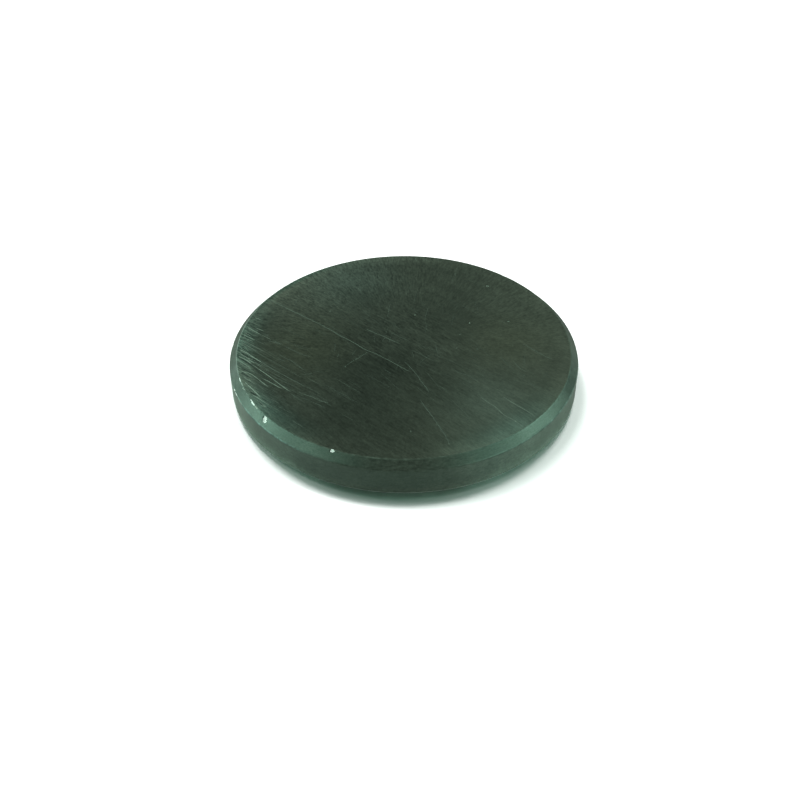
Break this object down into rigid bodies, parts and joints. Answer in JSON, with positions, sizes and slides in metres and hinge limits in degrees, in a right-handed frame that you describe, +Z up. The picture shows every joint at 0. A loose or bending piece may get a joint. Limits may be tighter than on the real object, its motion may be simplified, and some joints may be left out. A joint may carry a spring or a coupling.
{
  "type": "dealer button",
  "caption": "Plain round dealer button: a flat disc with a chamfered edge, a moulded cup holding a steel weight, closed by a flush plate underneath.",
  "frame": {"origin": "centre of the underside, on the table", "axes": "+Z up, from the underside to the top face; the disc is round about Z"},
  "size_m": [0.05, 0.05, 0.006],
  "materials": {
    "shell_plastic": "satin, finely scratched",
    "cover_plastic": "satin, fine moulded texture",
    "steel": "stamped, zinc-plated",
    "foam_tape": "closed-cell foam with adhesive both sides"
  },
  "bodies": {
    "root": {"body_shell": "shell_plastic", "tape_lower": "foam_tape", "steel_weight": "steel", "tape_upper": "foam_tape", "base_cover": "cover_plastic"}
  },
  "joints": []
}
